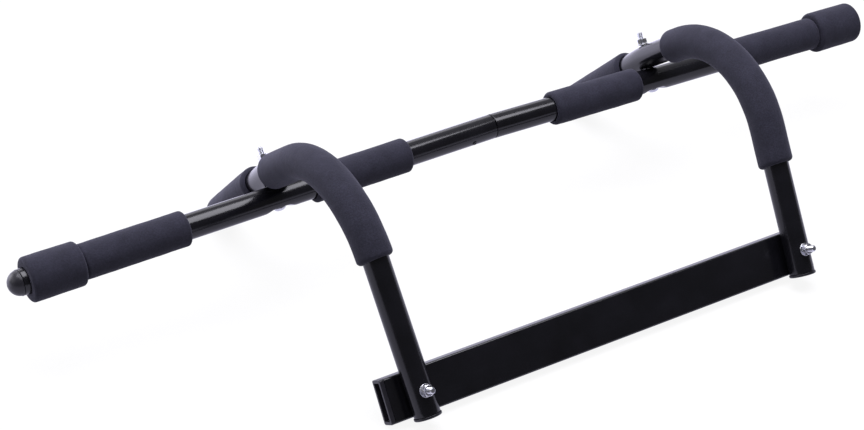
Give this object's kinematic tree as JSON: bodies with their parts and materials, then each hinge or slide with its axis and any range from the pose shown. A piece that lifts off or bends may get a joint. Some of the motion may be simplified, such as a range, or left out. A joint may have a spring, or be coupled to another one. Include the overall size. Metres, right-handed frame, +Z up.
{
  "type": "pull up bar",
  "caption": "Doorway pull up bar: straight foam-gripped main bar, two curved hook arms with handles, and a flat crossbar that hooks over the door casing.",
  "frame": {"origin": "on the floor under the middle of the bar, centred front to back, with the bar lying on its crossbar's lower edge and its two handle tips", "axes": "+X along the main bar, -Y towards the crossbar and +Y towards the handles, +Z up from the floor"},
  "size_m": [0.9998, 0.4126, 0.1994],
  "materials": {
    "gloss_black_tube": "gloss black powder coat on steel tube",
    "black_foam": "matt closed-cell foam with fine grain",
    "black_plastic": "satin moulded plastic",
    "zinc_fasteners": "bright zinc plating"
  },
  "bodies": {
    "root": {"main_tube_left": "gloss_black_tube", "main_tube_right": "gloss_black_tube", "arm_tube_left": "gloss_black_tube", "arm_tube_right": "gloss_black_tube", "crossbar": "gloss_black_tube", "joint_screw": "gloss_black_tube", "end_pad_left": "black_foam", "end_pad_right": "black_foam", "wide_grip_left": "black_foam", "wide_grip_right": "black_foam", "close_grip_left": "black_foam", "close_grip_right": "black_foam", "arm_pad_left": "black_foam", "arm_pad_right": "black_foam", "handle_grip_left": "black_foam", "handle_grip_right": "black_foam", "end_cap_left": "black_plastic", "end_cap_right": "black_plastic", "crossbar_cap_left": "black_plastic", "crossbar_cap_right": "black_plastic", "handle_plug_left": "black_plastic", "handle_plug_right": "black_plastic", "leg_plug_left": "black_plastic", "leg_plug_right": "black_plastic", "joint_insert": "zinc_fasteners", "saddle_bolt_left": "zinc_fasteners", "saddle_nut_left": "zinc_fasteners", "saddle_washer_left": "zinc_fasteners", "crossbar_bolt_left": "zinc_fasteners", "crossbar_nut_left": "zinc_fasteners", "crossbar_washer_left": "zinc_fasteners", "saddle_bolt_right": "zinc_fasteners", "saddle_nut_right": "zinc_fasteners", "saddle_washer_right": "zinc_fasteners", "crossbar_bolt_right": "zinc_fasteners", "crossbar_nut_right": "zinc_fasteners", "crossbar_washer_right": "zinc_fasteners"}
  },
  "joints": []
}
